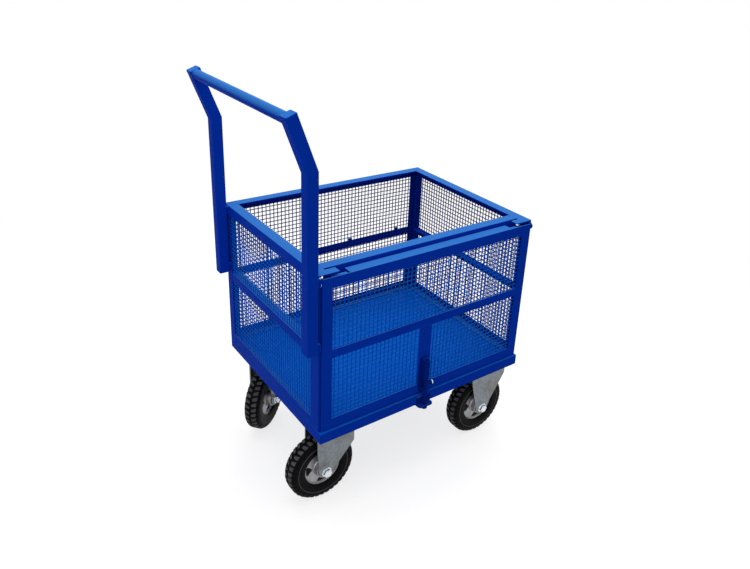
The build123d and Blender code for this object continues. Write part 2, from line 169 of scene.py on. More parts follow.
def cleared_tree(owner: Material | World) -> NodeTree:
    """Opens the node tree of a material or a world.

    Args:
        owner: The material or world.

    Returns:
        Its tree, without the nodes that it starts with.
    """
    owner.use_nodes = True
    owner.node_tree.nodes.clear()
    return owner.node_tree


def per_metre(size: float) -> float:
    """Texture scale that makes a pattern's features about as large as a size in millimetres."""
    return 1 / (size * MM)


@dataclass(frozen=True)
class Finish:
    """What every finish has: a name, a slot in the record, a colour and the way it shines."""

    name: str
    slot: Slot
    colour: str
    metallic: float
    roughness: float

    def material(self) -> Material:
        """Builds the material the first time, and finds it again after that.

        Returns:
            The finish as a material.
        """
        known = bpy.data.materials.get(self.name)
        if known:
            return known
        material = bpy.data.materials.new(self.name)
        tree = cleared_tree(material)
        looks = {"Metallic": self.metallic, "Roughness": self.roughness, **self.patterns(tree)}
        shader = add_node(tree, "BsdfPrincipled", looks)
        add_node(tree, "OutputMaterial", {"Surface": shader})
        return material

    def patterns(self, tree: NodeTree) -> dict[str, Any]:
        """Adds a finish's own patterns to a tree, and says what the shader's inputs get from them."""
        raise NotImplementedError


@dataclass(frozen=True)
class SprayedEnamel(Finish):
    """Sprayed enamel: an even deep blue, a few scuffs, and a painted sky sheen on faces that look up."""

    thin_colour: str = "#0536B4"
    scuff_colour: str = "#1C52C4"
    top_sheen_colour: str = "#3479C7"
    top_sheen_start: float = 0.45
    top_sheen_full: float = 0.95
    top_sheen_share: float = 0.85
    cloud: float = 140.0
    scuff: float = 38.0
    scuff_dulling: float = 0.35
    peel: float = 5.0
    peel_depth: float = 0.05
    wave: float = 170.0
    wave_depth: float = 0.0
    specular: float = 0.003

    def patterns(self, tree: NodeTree) -> dict[str, Any]:
        """Adds uneven paint thickness, scuffs, a painted sky sheen on faces that look up, orange peel and the
        wave of the sheet.

        Args:
            tree: The node tree of the material.

        Returns:
            What the shader's inputs get.
        """
        add = partial(add_node, tree)
        coordinates = add("TexCoord")
        place = coordinates.outputs["Object"]
        cloud = add("TexNoise", {"Vector": place, "Scale": per_metre(self.cloud), "Detail": 4.0})
        tint = add("Mix", {SHARE: cloud, UNDER: self.thin_colour, OVER: self.colour}, data_type="RGBA")
        rubbing = {"Scale": per_metre(self.scuff), "Detail": 9.0, "Roughness": 0.7, "Distortion": 0.6}
        rub = add("TexNoise", {"Vector": place, **rubbing})
        scuffs = add("MapRange", {"Value": rub, "From Min": 0.62, "From Max": 0.74, "To Max": 0.45})
        rubbed = add("Mix", {SHARE: scuffs, UNDER: tint, OVER: self.scuff_colour}, data_type="RGBA")
        # Faces whose normal points up turn paler: a painted sheen of the sky on them
        facing = add("SeparateXYZ", {"Vector": coordinates.outputs["Normal"]})
        limits = {"From Min": self.top_sheen_start, "From Max": self.top_sheen_full, "To Max": self.top_sheen_share}
        painted_top_sheen = add("MapRange", {"Value": facing.outputs["Z"], **limits})
        colour = add("Mix", {SHARE: painted_top_sheen, UNDER: rubbed, OVER: self.top_sheen_colour}, data_type="RGBA")
        dullest = self.roughness + self.scuff_dulling
        dull = add("MapRange", {"Value": scuffs, "To Min": self.roughness, "To Max": dullest})
        waves = add("TexNoise", {"Vector": place, "Scale": per_metre(self.wave), "Detail": 1.0})
        sheet = add("Bump", {"Height": waves, "Strength": 1.0, "Distance": self.wave_depth * MM})
        peel = add("TexNoise", {"Vector": place, "Scale": per_metre(self.peel), "Detail": 2.0})
        relief = {"Strength": 0.35, "Distance": self.peel_depth * MM, "Normal": sheet}
        bump = add("Bump", {"Height": peel, **relief})
        return {"Base Color": colour, "Roughness": dull, "Specular IOR Level": self.specular, "Normal": bump}


@dataclass(frozen=True)
class ZincPlate(Finish):
    """Zinc plating on pressed sheet: a soft grey metal with faint crystals and warm passivation stains."""

    warm_colour: str = "#6C6A60"
    crystal: float = 9.0
    stain: float = 45.0
    streak: float = 16.0
    streak_length: float = 8.0
    dent_depth: float = 0.3

    def patterns(self, tree: NodeTree) -> dict[str, Any]:
        """Adds crystals, stains, upright streaks and the dents of the press.

        Args:
            tree: The node tree of the material.

        Returns:
            What the shader's inputs get.
        """
        add = partial(add_node, tree)
        place = add("TexCoord").outputs["Object"]
        crystal = add("TexVoronoi", {"Vector": place, "Scale": per_metre(self.crystal)})
        stain = add("TexNoise", {"Vector": place, "Scale": per_metre(self.stain), "Detail": 5.0})
        patches = add("MapRange", {"Value": stain, "From Min": 0.45, "From Max": 0.75, "To Max": 0.7})
        stained = add("Mix", {SHARE: patches, UNDER: self.colour, OVER: self.warm_colour}, data_type="RGBA")
        stretch = (1.0, 1.0, 1 / self.streak_length)
        drawn_out = add("VectorMath", {0: place, 1: stretch}, operation="MULTIPLY")
        streak = add("TexNoise", {"Vector": drawn_out, "Scale": per_metre(self.streak), "Detail": 3.0})
        mottle = add("Math", {0: crystal, 1: streak}, operation="ADD")
        limits = {"From Min": 0.4, "From Max": 1.3, "To Min": 0.78, "To Max": 1.12}
        sparkle = add("MapRange", {"Value": mottle, **limits})
        layers = {SHARE: 1.0, UNDER: stained, OVER: sparkle}
        shade = add("Mix", layers, data_type="RGBA", blend_type="MULTIPLY")
        limits = {"To Min": self.roughness - 0.1, "To Max": self.roughness + 0.15}
        dull = add("MapRange", {"Value": stain, **limits})
        bump = add("Bump", {"Height": stain, "Strength": 0.2, "Distance": self.dent_depth * MM})
        return {"Base Color": shade, "Roughness": dull, "Normal": bump}


@dataclass(frozen=True)
class GrainedSurface(Finish):
    """A cast or moulded surface: an even colour that a fine grain breaks up."""

    stain_colour: str = "#000000"
    stain: float = 25.0
    stain_share: float = 0.3
    grain: float = 1.5
    grain_depth: float = 0.1
    specular: float = 0.5

    def patterns(self, tree: NodeTree) -> dict[str, Any]:
        """Adds the grain of the mould and what has settled on it.

        Args:
            tree: The node tree of the material.

        Returns:
            What the shader's inputs get.
        """
        add = partial(add_node, tree)
        place = add("TexCoord").outputs["Object"]
        stain = add("TexNoise", {"Vector": place, "Scale": per_metre(self.stain), "Detail": 6.0})
        limits = {"From Min": 0.35, "From Max": 0.75, "To Max": self.stain_share}
        share = add("MapRange", {"Value": stain, **limits})
        tint = add("Mix", {SHARE: share, UNDER: self.colour, OVER: self.stain_colour}, data_type="RGBA")
        grain = add("TexNoise", {"Vector": place, "Scale": per_metre(self.grain), "Detail": 2.0})
        bump = add("Bump", {"Height": grain, "Strength": 0.4, "Distance": self.grain_depth * MM})
        return {"Base Color": tint, "Specular IOR Level": self.specular, "Normal": bump}


# Blue enamel on rolled bar, deep on upright faces, with a painted sky sheen that makes the faces looking up
# paler
ENAMEL = SprayedEnamel("gloss_blue_enamel_on_bar", Slot.PAINT, "#063EC6", metallic=0.0, roughness=0.3)
# The same enamel on the crossbar, its painted sky sheen spread from the top down to the side
CROSSBAR_SHEEN_ENAMEL = replace(ENAMEL, name="gloss_blue_enamel_on_crossbar", top_sheen_start=0.0, top_sheen_full=0.5)
# A darker copy of the enamel for the far end's mid rail low inside the cage, painted shade, with no sky sheen
# on its top
SHADED_RAIL_ENAMEL = replace(
    ENAMEL, name="gloss_blue_enamel_rail_painted_shade", thin_colour="#0432A4", top_sheen_share=0.0,
)
# A brighter copy of the enamel on the flat deck sheet, painted light and reflection from above, with a slow
# wave in its shine
LIT_SHEET_ENAMEL = replace(
    ENAMEL, name="gloss_blue_enamel_on_sheet", colour="#0668DA", thin_colour="#065CCC",
    roughness=0.24, top_sheen_share=0.0, wave_depth=0.5,
)
# A darker copy of the enamel on the latch, painted shade, with little sky sheen on its top
SHADED_LATCH_ENAMEL = replace(
    ENAMEL, name="gloss_blue_enamel_latch_painted_shade", colour="#042C9C", thin_colour="#03207C",
    roughness=0.35, top_sheen_share=0.12,
)
# A lighter copy of the enamel on the wires of the gate and the handle end, painted highlights along the round
# wires
WIRE_ENAMEL = replace(ENAMEL, name="gloss_blue_enamel_on_wire", colour="#0A68E0", thin_colour="#085CD2")
# A darker copy of the enamel on the wires of the far panels, painted shade, dark against the light behind
# them
SHADED_WIRE_ENAMEL = replace(
    ENAMEL, name="gloss_blue_enamel_far_wire_painted_shade", colour="#082A88", thin_colour="#06206C", top_sheen_share=0.1,
)
# Zinc-plated pressed steel, soft grey with warm stains
FORK_ZINC = ZincPlate("zinc_plated_pressed_steel", Slot.ZINC, "#797F84", metallic=1.0, roughness=0.42)
# Bright zinc on turned fasteners, nearly white with clear highlights
BRIGHT_ZINC = GrainedSurface(
    "bright_zinc_fasteners", Slot.BRIGHT, "#DDE3E8", metallic=1.0, roughness=0.24,
    stain_colour="#A9AFB4", stain=12.0, stain_share=0.4, grain=2.0, grain_depth=0.03,
)
# Cast aluminium, pale grey with the matt grain of the mould
CAST_RIM = GrainedSurface(
    "cast_aluminium_wheel_centre", Slot.RIM, "#A9A8AC", metallic=0.75, roughness=0.42,
    stain_colour="#6F6D70", stain=22.0, stain_share=0.5, grain=1.6, grain_depth=0.08,
)
# Vulcanised rubber, black with a dull bloom
RUBBER = GrainedSurface(
    "vulcanised_tyre_rubber", Slot.RUBBER, "#09090B", metallic=0.0, roughness=0.38,
    stain_colour="#121214", stain=30.0, stain_share=0.5, grain=2.0, grain_depth=0.08, specular=0.04,
)
# A dusty grey rubber: floor scuffs with a painted highlight on the lug tops, and only a painted highlight on
# the sidewall ring
SCUFF_AND_SHEEN_RUBBER = GrainedSurface(
    "tyre_rubber_scuffs_and_sheen", Slot.RUBBER, "#5C5C61", metallic=0.0, roughness=0.6,
    stain_colour="#2C2C30", stain=14.0, stain_share=0.7, grain=1.5, grain_depth=0.1, specular=0.1,
)
# Nearly black moulded nylon: the seals round the axle, and the disc behind the wheel's windows, which paints
# in the shade inside them
SEAL_AND_SHADE_NYLON = GrainedSurface(
    "black_nylon_seal_and_painted_shade", Slot.RIM, "#0E0D0F", metallic=0.0, roughness=0.5,
    stain_colour="#1C1B1A", stain=10.0, stain_share=0.4, grain=1.5, grain_depth=0.05, specular=0.1,
)


def steel_copy(frame: Frame, node: str) -> BMesh:
    """Copies a CAD node's mesh, with its facets joined into whole faces.

    Args:
        frame: The loaded frame.
        node: The CAD node's name.

    Returns:
        The copy, in metres.
    """
    bm = bmesh.new()
    bm.from_mesh(frame["nodes"][node].data)
    bmesh.ops.remove_doubles(bm, verts=bm.verts, dist=SAME_POINT)
    bmesh.ops.dissolve_limit(bm, angle_limit=FACET_ANGLE, verts=bm.verts, edges=bm.edges)
    return bm


def solid_boxes(frame: Frame, node: str) -> list[Box]:
    """Finds the separate solids of a node.

    Args:
        frame: The loaded frame.
        node: The CAD node's name.

    Returns:
        The lowest and highest corner of each solid, in metres.
    """
    bm = steel_copy(frame, node)
    left = set(bm.verts)
    found = []
    while left:
        solid = [left.pop()]
        for vert in solid:
            near = [edge.other_vert(vert) for edge in vert.link_edges]
            solid += [other for other in near if other in left]
            left.difference_update(near)
        places = list(zip(*(vert.co for vert in solid)))
        found.append((Vector(map(min, places)), Vector(map(max, places))))
    bm.free()
    return sorted(found, key=lambda limits: tuple(limits[0]) + tuple(limits[1]))


def joint_of(frame: Frame, name: str) -> dict[str, Any]:
    """Finds one of the frame's joints by its name."""
    return next(joint for joint in frame["joints"] if joint["name"] == name)


def upright(at: Vector) -> Matrix:
    """Local axes at a point, turned so that Y points up."""
    return Matrix.Translation(at) @ Matrix.Rotation(math.radians(90), 4, "X")


def add_mesh(bm: BMesh, other: BMesh) -> None:
    """Moves one mesh into another.

    Args:
        bm: The mesh that gets the other.
        other: The mesh that is moved. It is freed.
    """
    moved = bpy.data.meshes.new("moved")
    other.to_mesh(moved)
    other.free()
    bm.from_mesh(moved)
    bpy.data.meshes.remove(moved)


def round_outline(corners: Sequence[tuple[Vector, float]], steps: int = 4) -> list[Vector]:
    """Rounds the corners of a closed flat outline.

    Args:
        corners: Each corner with its radius. A corner with none stays as it is.
        steps: Straight stretches along each rounding.

    Returns:
        The outline's points in order.
    """
    points = []
    for index, (corner, radius) in enumerate(corners):
        if not radius:
            points.append(corner)
            continue
        before = (corners[index - 1][0] - corner).normalized()
        after = (corners[(index + 1) % len(corners)][0] - corner).normalized()
        reach = radius / math.tan(before.angle(after) / 2)
        start, end = corner + before * reach, corner + after * reach
        for step in range(steps + 1):
            share = step / steps
            pull = corner * 2 * share * (1 - share)
            points.append(start * (1 - share) ** 2 + pull + end * share**2)
    return points


def round_edges(bm: BMesh, radius: float, segments: int = 2) -> None:
    """Rounds every outer edge that turns by more than the angle for rounding.

    Args:
        bm: The mesh to change.
        radius: Distance from the edge to where the rounding starts, in millimetres.
        segments: Faces across the rounding.
    """
    bm.normal_update()
    edges = [edge for edge in bm.edges if edge.is_convex and edge.calc_face_angle(0) > ROUNDED_ANGLE]
    bmesh.ops.bevel(
        bm, geom=edges, offset=radius * MM, segments=segments, profile=0.5,
        affect="EDGES", clamp_overlap=False, loop_slide=True,
    )


def make_piece(name: str, bm: BMesh, finish: Finish, body: str, nodes: Sequence[str] = ()) -> Object:
    """Turns a mesh into a shown piece with its finish, which rides on a body.

    Args:
        name: The piece's name.
        bm: The mesh, in metres. It is freed.
        finish: What the piece is made of.
        body: The CAD body that carries it.
        nodes: CAD nodes that the piece stands for.

    Returns:
        The new object.
    """
    bmesh.ops.recalc_face_normals(bm, faces=bm.faces)
    mesh = bpy.data.meshes.new(name)
    bm.to_mesh(mesh)
    bm.free()
    if "custom_normal" in mesh.attributes:
        mesh.attributes.remove(mesh.attributes["custom_normal"])
    mesh.polygons.foreach_set("use_smooth", [True] * len(mesh.polygons))
    mesh.set_sharp_from_angle(angle=SHARP_ANGLE)
    mesh.materials.clear()
    mesh.materials.append(finish.material())
    piece = bpy.data.objects.new(name, mesh)
    bpy.context.scene.collection.objects.link(piece)
    piece.modifiers.new("flat_faces_stay_flat", "WEIGHTED_NORMAL").keep_sharp = True
    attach(piece, body)
    if nodes:
        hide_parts(*nodes)
    LOG.info("%s: %d faces, on %s", name, len(mesh.polygons), body)
    return piece


def skin(bm: BMesh, rings: Rings, capped: bool = False) -> None:
    """Joins each closed ring of vertices to the next one with faces.

    Args:
        bm: The mesh that holds the rings.
        rings: Rings with the same number of vertices each.
        capped: Whether a face closes the first ring and the last one.
    """
    for first, second in zip(rings, rings[1:]):
        for index in range(len(first)):
            after = (index + 1) % len(first)
            bm.faces.new((first[index], first[after], second[after], second[index]))
    if capped:
        bm.faces.new(list(reversed(rings[0])))
        bm.faces.new(rings[-1])


def turns(count: int) -> list[float]:
    """Angles that divide a full turn into equal steps, in radians."""
    return [2 * math.pi * step / count for step in range(count)]


def lathe(bm: BMesh, profile: Profile, steps: int, place: Matrix, sides: Sequence[int] = (1,)) -> None:
    """Turns a closed section round the local Y axis.

    Args:
        bm: The mesh that gets the ring.
        profile: Distance along the axis and radius of each point, in millimetres.
        steps: Faces round the axis.
        place: Where the local axes are, in metres.
        sides: Plus one for the section as it is, minus one for its mirror image on the other side.
    """
    for side in sides:
        rings = []
        for angle in turns(steps):
            across, up = math.sin(angle), math.cos(angle)
            points = [Vector((radius * across, side * along, radius * up)) * MM for along, radius in profile]
            rings.append([bm.verts.new(place @ point) for point in points])
        skin(bm, rings + rings[:1])


def mirrored(side: Profile) -> list[tuple[float, float]]:
    """Closes half a section with its mirror image on the other side of the middle."""
    return [*side, *((-along, radius) for along, radius in reversed(side))]


@dataclass
class Steelwork:
    """The painted bars, sheet and small plates, which keep their CAD shapes and gain rolled edges."""

    frame: Frame
    edge: float = 0.7
    rebuilt: tuple[str, ...] = ("mesh", "handle_leg", "handle_crossbar", "gate_bolt")
    # The latch and the far end's mid rail get darker copies of the enamel as painted shade, the deck a
    # brighter copy as painted light
    finishes: dict[str, Finish] = field(
        default_factory=lambda: {
            "bolt_guide": SHADED_LATCH_ENAMEL,
            "bolt_keeper": SHADED_LATCH_ENAMEL,
            "deck_sheet": LIT_SHEET_ENAMEL,
            "mid_rail_far_end": SHADED_RAIL_ENAMEL,
        }
    )

    def build(self) -> None:
        """Copies each painted node of the platform, the cage and the gate."""
        slots = {part["node"]: part["material_slot"] for part in self.frame["record"]["subparts"]}
        for body, nodes in self.frame["record"]["behaviour"]["bodies"].items():
            for node in nodes:
                rebuilt = any(word in node for word in self.rebuilt)
                if slots[node] == Slot.PAINT.value and not rebuilt:
                    self.dress(node, body)

    def dress(self, node: str, body: str) -> None:
        """Makes one bar or plate with rolled edges.

        Args:
            node: The CAD node that it stands for.
            body: The body that carries it.
        """
        bm = steel_copy(self.frame, node)
        round_edges(bm, self.edge)
        make_piece(f"{node}.painted", bm, self.finishes.get(node, ENAMEL), body, [node])


@dataclass
class WireMesh:
    """The welded mesh: round wires under a thick coat, in place of the frame's square ones."""

    frame: Frame
    sides: int = 8
    coat: float = 0.35
    # The near panels' wires get a lighter enamel as painted highlights, the far panels' wires a darker one as
    # painted shade
    panels: dict[str, tuple[str, Finish]] = field(
        default_factory=lambda: {
            "mesh_rear": ("frame", SHADED_WIRE_ENAMEL),
            "mesh_handle_end": ("frame", WIRE_ENAMEL),
            "mesh_far_end": ("frame", SHADED_WIRE_ENAMEL),
            "gate_mesh": ("gate", WIRE_ENAMEL),
        }
    )

    def build(self) -> None:
        """Draws a round wire along each wire of the frame."""
        for node, (body, finish) in self.panels.items():
            bm = bmesh.new()
            for low, high in solid_boxes(self.frame, node):
                self.wire(bm, low, high)
            make_piece(f"{node}.wires", bm, finish, body, [node])

    def wire(self, bm: BMesh, low: Vector, high: Vector) -> None:
        """Adds the round wire that fills a long thin box.

        Args:
            bm: The mesh that gets it.
            low: Lowest corner of the box.
            high: Highest corner of the box.
        """
        size = high - low
        radius = min(size) / 2 + self.coat * MM
        run = Vector([side if side == max(size) else 0.0 for side in size])
        place = Matrix.Translation((low + high) / 2) @ run.to_track_quat("Z", "Y").to_matrix().to_4x4()
        bmesh.ops.create_cone(
            bm, cap_ends=True, segments=self.sides,
            radius1=radius, radius2=radius, depth=run.length, matrix=place,
        )


@dataclass
class PushHandle:
    """The push handle: two bent square tubes with closed tops, and a round crossbar welded between them."""

    legs: tuple[str, ...] = ("handle_leg_front", "handle_leg_rear")
    tube: float = 30.0
    wall: float = 2.0
    corner: float = 3.0
    corner_steps: int = 4
    foot_depth: float = 45.0
    lean: float = 21.0
    cap_edge: float = 1.2
    bar_radius: float = 13.45
    weld: float = 1.5
    weld_rises: tuple[float, ...] = (1.0, 0.8, 0.2, 0.0)
    tubes: BMesh = field(default_factory=bmesh.new)

    def build(self) -> None:
        """Makes the two legs and the crossbar."""
        for node in self.legs:
            self.leg(node)
        make_piece("push_handle.legs", self.tubes, ENAMEL, "frame", self.legs)
        self.crossbar()

    def leg(self, node: str) -> None:
        """Runs a tube from its open foot through the bend to its capped top.

        Args:
            node: The CAD node that it stands for.
        """
        low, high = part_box("handle_crossbar")
        bar = (low + high) / 2
        leg_low, leg_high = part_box(node)
        x = leg_high.x - self.tube / 2 * MM
        bar.y = (leg_low.y + leg_high.y) / 2
        foot = Vector((x, bar.y, leg_low.z))
        bend = Vector((x, bar.y, bar.z - (x - bar.x) / math.tan(math.radians(self.lean))))
        upward = (bar - bend).normalized()
        top = bar + upward * self.tube / 2 * MM
        shoulder = top - upward * self.cap_edge * MM
        outside = (self.tube, self.corner)
        inside = (self.tube - 2 * self.wall, self.corner - self.wall)
        cap = (self.tube - 2 * self.cap_edge, self.corner - self.cap_edge)
        rings = self.sweep([(foot, *outside), (bend, *outside), (shoulder, *outside), (top, *cap)])
        self.tubes.faces.new(rings[-1])
        depth = Vector((0, 0, self.foot_depth * MM))
        lip, bottom = self.sweep([(foot, *inside), (foot + depth, *inside)])
        skin(self.tubes, [rings[0], lip])
        self.tubes.faces.new(bottom)

    def crossbar(self) -> None:
        """Turns the round tube between the legs, with a weld round each of its ends."""
        low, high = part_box("handle_crossbar")
        end = (high.y - low.y) / 2 / MM - self.tube
        side = [(end, self.bar_radius - self.wall)]
        for step, rise in enumerate(self.weld_rises):
            side.append((end - step * self.weld, self.bar_radius + rise * self.weld))
        bm = bmesh.new()
        lathe(bm, mirrored(side), Roundness.TUBE, Matrix.Translation((low + high) / 2))
        make_piece("push_handle.crossbar", bm, CROSSBAR_SHEEN_ENAMEL, "frame", ["handle_crossbar"])

    def sweep(self, stations: Sequence[tuple[Vector, float, float]]) -> Rings:
        """Runs a rounded square up a leg, mitred at each station.

        Args:
            stations: Points of the centre line, with the square's side and corner radius in millimetres.

        Returns:
            The rings of vertices, one for each station.
        """
        points = [point for point, _, _ in stations]
        runs = [(second - first).normalized() for first, second in zip(points, points[1:])]
        across = Vector((0, 1, 0))
        rings = []
        for index, (point, size, corner) in enumerate(stations):
            before, after = runs[max(index - 1, 0)], runs[min(index, len(runs) - 1)]
            facing = (before + after).normalized()
            up = before.cross(across)
            ring = []
            for first, second in self.section(size, corner):
                offset = across * first + up * second
                offset -= before * (offset.dot(facing) / before.dot(facing))
                ring.append(self.tubes.verts.new(point + offset))
            rings.append(ring)
        skin(self.tubes, rings)
        return rings

    def section(self, size: float, corner: float) -> list[tuple[float, float]]:
        """Finds the points round a square with rounded corners.

        Args:
            size: Side of the square, in millimetres.
            corner: Radius of its corners, in millimetres.

        Returns:
            The points in order, in metres.
        """
        reach = size / 2 - corner
        points = []
        for quarter in range(4):
            middle = math.radians(45 + 90 * quarter)
            centre_x = math.copysign(reach, math.cos(middle))
            centre_y = math.copysign(reach, math.sin(middle))
            for step in range(self.corner_steps + 1):
                angle = math.radians(90 * quarter + 90 * step / self.corner_steps)
                x, y = centre_x + corner * math.cos(angle), centre_y + corner * math.sin(angle)
                points.append((x * MM, y * MM))
        return points


@dataclass(frozen=True)
class LugSection:
    """A section across a tread block: how far it is from the tread's middle and below the tread's top."""

    along: float
    half_width: float
    crown: float
    foot: float


@dataclass
class Wheel:
    """One wheel: a lugged rubber tyre on a cast centre with four wide spokes and a sealed hub."""

    name: str
    place: Matrix
    body: str
    radius: float = 100.0
    width: float = 50.0
    lug_count: int = 36
    lug_shifts: tuple[float, float] = (0.25, 0.75)
    lug_height: float = 2.6
    lug_slant: float = 0.32
    lug_flare: float = 1.25
    lug_edge: float = 0.6
    lug: tuple[LugSection, ...] = (
        LugSection(along=2.5, half_width=3.4, crown=0.0, foot=5.0),
        LugSection(along=13.5, half_width=5.2, crown=0.6, foot=6.0),
        LugSection(along=20.0, half_width=5.6, crown=4.4, foot=10.0),
        LugSection(along=24.0, half_width=5.4, crown=12.0, foot=16.0),
    )
    # Lug tops in the lighter rubber: floor scuffs with a painted highlight
    lug_tops_scuff_and_sheen: tuple[LugSection, ...] = (
        LugSection(along=3.4, half_width=3.0, crown=-0.08, foot=0.8),
        LugSection(along=13.5, half_width=4.6, crown=0.45, foot=1.4),
        LugSection(along=17.5, half_width=4.9, crown=2.78, foot=3.8),
    )
    rim: float = 58.0
    rim_half: float = 16.0
    rim_ring: float = 9.0
    web_half: float = 13.0
    web_edge: float = 1.4
    # Half the thickness of the black disc that paints in the shade behind the windows
    shade_disc_half: float = 7.0
    spoke_count: int = 4
    spoke_width: float = 40.0
    window_corner: float = 4.0
    window_foot: float = 2.0
    hub: float = 25.0
    hub_collar: float = 4.0
    hub_length: float = 63.0
    seal: float = 19.0
    bolt: float = 8.2

    def build(self) -> None:
        """Makes the tyre, the cast centre, the hub's seals and a black disc of painted shade behind the
        windows.
        """
        self.tyre()
        self.centre()
        self.seals_and_shade_disc()

    def tyre(self) -> None:
        """Makes the carcass with two rows of lugs, and a lighter copy of the lug tops and of a sidewall ring:
        scuffs with a painted highlight on the lug tops, a painted highlight on the ring.
        """
        base, half, lip = self.radius - self.lug_height, self.width / 2, self.rim - 3
        bead = [(self.rim_half, self.rim), (self.rim_half, lip), (self.rim_half + 2, lip - 0.8)]
        wall = [(half - 5, lip + 0.6), (half - 3, lip + 5), (half - 1.8, lip + 12)]
        shoulder = [(half - 1.4, base - 16), (half - 1.8, base - 11.4), (half - 3.2, base - 6.9)]
        tread = [(half - 6.5, base - 2.8), (half - 12, base - 0.4), (4.0, base)]
        bm, lugs, scuffs = bmesh.new(), bmesh.new(), bmesh.new()
        lathe(bm, mirrored(bead + wall + shoulder + tread), Roundness.WHEEL, self.place)
        for index in range(self.lug_count):
            for row, shift in zip(SIDES, self.lug_shifts):
                angle = 2 * math.pi * (index + shift) / self.lug_count
                self.block(lugs, angle, row, self.lug)
                self.block(scuffs, angle, row, self.lug_tops_scuff_and_sheen)
        round_edges(lugs, self.lug_edge, 1)
        add_mesh(bm, lugs)
        # A thin ring on each sidewall in the lighter rubber, a painted highlight along its ridge
        face, foot, top = half - 0.5, lip + 21, lip + 23.6
        ring = [(half - 2, foot), (face, foot + 0.6), (face, top - 0.6), (half - 2, top)]
        lathe(scuffs, ring, Roundness.WHEEL, self.place, SIDES)
        make_piece(f"{self.name}_tyre.rubber", bm, RUBBER, self.body, [f"{self.name}_tyre"])
        # The lighter piece: scuffed lug tops with a painted highlight, and the painted highlight of the
        # sidewall rings
        make_piece(f"{self.name}_tyre.scuffs", scuffs, SCUFF_AND_SHEEN_RUBBER, self.body)

    def block(self, bm: BMesh, angle: float, row: int, outline: Sequence[LugSection]) -> None:
        """Adds one slanted tread block.

        Args:
            bm: The mesh that gets it.
            angle: Where the block is round the axle, in radians.
            row: Plus one or minus one, for the side of the tread.
            outline: Its sections, from the tread's middle to its shoulder.
        """
        rings = []
        for cut in outline:
            slant = (cut.along - self.lug[0].along) * self.lug_slant
            ring = []
            for drop, spread, ways in ((cut.foot, self.lug_flare, (-1, 1)), (cut.crown, 1.0, (1, -1))):
                level = self.radius - drop
                for way in ways:
                    turn = angle + (slant + way * cut.half_width * spread) / self.radius
                    point = Vector((level * math.sin(turn), row * cut.along, level * math.cos(turn)))
                    ring.append(bm.verts.new(self.place @ (point * MM)))
            rings.append(ring)
        skin(bm, rings, capped=True)

    def centre(self) -> None:
        """Makes the cast centre: a ring under the tyre's bead, a web with windows and a long hub."""
        bm = bmesh.new()
        face, end = self.web_half, self.hub_length / 2
        seat = [
            (self.rim_half, self.rim - 0.2),
            (self.rim_half, self.rim - 3.5),
            (face - 0.5, self.rim - 6),
            (face - 4, self.rim - self.rim_ring + 1),
        ]
        hub = [
            (face - 3, self.hub + self.hub_collar),
            (face + 0.4, self.hub + self.hub_collar - 0.6),
            (face + 3, self.hub + 0.8),
            (end - 1.5, self.hub - 0.4),
            (end, self.hub - 1.8),
            (end, self.seal + 0.4),
            (end - 3, self.seal),
            (end - 3, self.bolt),
        ]
        lathe(bm, mirrored(seat), Roundness.WHEEL, self.place)
        lathe(bm, mirrored(hub), Roundness.HUB, self.place)
        self.web(bm)
        make_piece(f"{self.name}_rim.cast", bm, CAST_RIM, self.body, [f"{self.name}_rim"])

    def web(self, bm: BMesh) -> None:
        """Adds the web between hub and ring, pierced by rounded windows.

        Args:
            bm: The mesh that gets it.
        """
        outlines = [self.circle(self.rim - 3, Roundness.WHEEL), self.circle(self.hub + 1, Roundness.HUB)]
        outlines += [self.window(middle) for middle in turns(self.spoke_count)]
        web = bmesh.new()
        faces = []
        for level in (-self.web_half, self.web_half):
            loops = []
            for points in outlines:
                loops.append([web.verts.new(Vector((point.x, level, point.y)) * MM) for point in points])
            edges = [web.edges.new(pair) for loop in loops for pair in zip(loop, loop[1:] + loop[:1])]
            bmesh.ops.triangle_fill(web, edges=edges, use_beauty=True, use_dissolve=False)
            faces.append(loops)
        # An extrusion would add these walls in an order that changes from run to run
        for loops in zip(*faces):
            skin(web, loops)
        bmesh.ops.recalc_face_normals(web, faces=web.faces)
        bmesh.ops.dissolve_limit(web, angle_limit=FACET_ANGLE, verts=web.verts, edges=web.edges)
        round_edges(web, self.web_edge)
        web.transform(self.place)
        add_mesh(bm, web)

    def circle(self, radius: float, steps: int) -> list[Vector]:
        """Points round a circle, in millimetres."""
        return [self.polar(radius, angle) for angle in turns(steps)]

    def polar(self, radius: float, angle: float) -> Vector:
        """A point of the wheel's face, by its radius and its angle from the top."""
        return Vector((radius * math.sin(angle), radius * math.cos(angle)))

    def window(self, middle: float) -> list[Vector]:
        """Points round the window between two spokes, wide at the ring and narrow at the hub.

        Args:
            middle: Angle of the window's middle, in radians.

        Returns:
            The points in order, in millimetres.
        """
        outer, spoke_edge = self.rim - self.rim_ring, self.spoke_width / 2
        to_spoke = math.pi / self.spoke_count
        spread = to_spoke - math.asin(spoke_edge / outer)
        arc = [(self.polar(outer, middle + spread * share), 0.0) for share in (0.5, 0.0, -0.5)]
        foot = (self.polar(spoke_edge / math.sin(to_spoke), middle), self.window_foot)
        first, last = ((self.polar(outer, middle + spread * way), self.window_corner) for way in SIDES)
        return round_outline([foot, first, *arc, last])

    def seals_and_shade_disc(self) -> None:
        """Makes the black disc behind the windows, which paints in the shade inside them, and the dark seal
        in each end of the hub.
        """
        end = self.hub_length / 2
        disc = [(self.shade_disc_half, self.hub), (self.shade_disc_half, self.rim - 4)]
        seal = [
            (end - 3.2, self.bolt),
            (end - 3.2, self.seal - 0.2),
            (end - 1.2, self.seal - 0.6),
            (end - 0.7, self.seal - 4),
            (end - 1.6, self.bolt),
        ]
        bm = bmesh.new()
        lathe(bm, mirrored(disc), Roundness.HUB, self.place)
        lathe(bm, seal, Roundness.TUBE, self.place, SIDES)
        make_piece(f"{self.name}_rim.core", bm, SEAL_AND_SHADE_NYLON, self.body)


